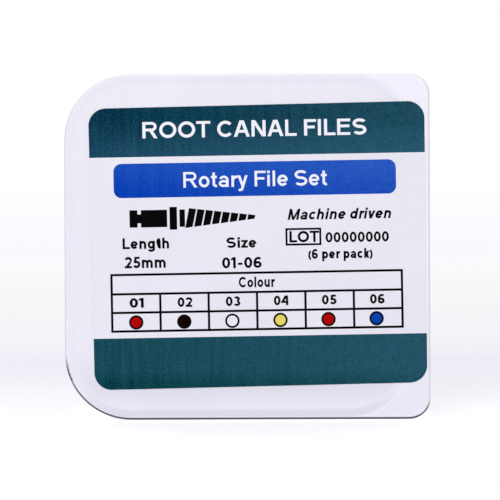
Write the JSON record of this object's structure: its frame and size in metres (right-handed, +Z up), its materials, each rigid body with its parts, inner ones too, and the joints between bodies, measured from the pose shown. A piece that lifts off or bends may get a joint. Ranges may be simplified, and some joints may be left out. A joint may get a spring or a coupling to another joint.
{
  "type": "rotary root canal file pack",
  "caption": "Flat hinged frosted plastic pack holding engine-driven root canal files with latch shanks, colour rings and rubber stops in a clip rack, with a printed label on its lid.",
  "frame": {"origin": "middle of the bottom edge that the closed pack stands on, halfway through its thickness", "axes": "+X along the width towards the hinge, -Y out of the labelled lid, +Y out of the back, +Z up along the files"},
  "size_m": [0.074, 0.01, 0.07],
  "materials": {
    "case_plastic": "frosted milky polypropylene, slightly translucent",
    "rack_plastic": "white moulded",
    "label_paper": "coated, semi-gloss, printed in dark teal, blue and black",
    "shank_brass": "turned and polished",
    "nickel_titanium": "ground, electropolished",
    "stop_silicone": "soft satin silicone",
    "ring_red": "gloss",
    "ring_black": "gloss",
    "ring_white": "gloss",
    "ring_yellow": "gloss",
    "ring_blue": "gloss"
  },
  "bodies": {
    "base": {"case_base": "case_plastic", "file_rack": "rack_plastic"},
    "lid": {"case_lid": "case_plastic", "front_label": "label_paper"},
    "file_1": {"file_1_shank": "shank_brass", "file_1_ring": "ring_red", "file_1_blade": "nickel_titanium"},
    "stop_1": {"file_1_stop": "stop_silicone"},
    "file_2": {"file_2_shank": "shank_brass", "file_2_ring": "ring_black", "file_2_blade": "nickel_titanium"},
    "stop_2": {"file_2_stop": "stop_silicone"},
    "file_3": {"file_3_shank": "shank_brass", "file_3_ring": "ring_white", "file_3_blade": "nickel_titanium"},
    "stop_3": {"file_3_stop": "stop_silicone"},
    "file_4": {"file_4_shank": "shank_brass", "file_4_ring": "ring_yellow", "file_4_blade": "nickel_titanium"},
    "stop_4": {"file_4_stop": "stop_silicone"},
    "file_5": {"file_5_shank": "shank_brass", "file_5_ring": "ring_red", "file_5_blade": "nickel_titanium"},
    "stop_5": {"file_5_stop": "stop_silicone"},
    "file_6": {"file_6_shank": "shank_brass", "file_6_ring": "ring_blue", "file_6_blade": "nickel_titanium"},
    "stop_6": {"file_6_stop": "stop_silicone"}
  },
  "joints": [
    {"name": "lid_hinge", "type": "hinge", "parent": "base", "child": "lid", "pos_m": [0.0355, -0.001, 0.035], "axis": [0, 0, 1], "range_deg": [0, 180]},
    {"name": "file_1_spin", "type": "hinge", "parent": "base", "child": "file_1", "pos_m": [-0.0261, 0.0006, 0.03], "axis": [0, 0, 1], "continuous": true},
    {"name": "stop_1_slide", "type": "slide", "parent": "file_1", "child": "stop_1", "axis": [0, 0, 1], "range_m": [0, 0.022]},
    {"name": "file_2_spin", "type": "hinge", "parent": "base", "child": "file_2", "pos_m": [-0.0163, 0.0006, 0.03], "axis": [0, 0, 1], "continuous": true},
    {"name": "stop_2_slide", "type": "slide", "parent": "file_2", "child": "stop_2", "axis": [0, 0, 1], "range_m": [0, 0.022]},
    {"name": "file_3_spin", "type": "hinge", "parent": "base", "child": "file_3", "pos_m": [-0.0065, 0.0006, 0.03], "axis": [0, 0, 1], "continuous": true},
    {"name": "stop_3_slide", "type": "slide", "parent": "file_3", "child": "stop_3", "axis": [0, 0, 1], "range_m": [0, 0.022]},
    {"name": "file_4_spin", "type": "hinge", "parent": "base", "child": "file_4", "pos_m": [0.0033, 0.0006, 0.03], "axis": [0, 0, 1], "continuous": true},
    {"name": "stop_4_slide", "type": "slide", "parent": "file_4", "child": "stop_4", "axis": [0, 0, 1], "range_m": [0, 0.022]},
    {"name": "file_5_spin", "type": "hinge", "parent": "base", "child": "file_5", "pos_m": [0.0131, 0.0006, 0.03], "axis": [0, 0, 1], "continuous": true},
    {"name": "stop_5_slide", "type": "slide", "parent": "file_5", "child": "stop_5", "axis": [0, 0, 1], "range_m": [0, 0.022]},
    {"name": "file_6_spin", "type": "hinge", "parent": "base", "child": "file_6", "pos_m": [0.0229, 0.0006, 0.03], "axis": [0, 0, 1], "continuous": true},
    {"name": "stop_6_slide", "type": "slide", "parent": "file_6", "child": "stop_6", "axis": [0, 0, 1], "range_m": [0, 0.022]}
  ]
}
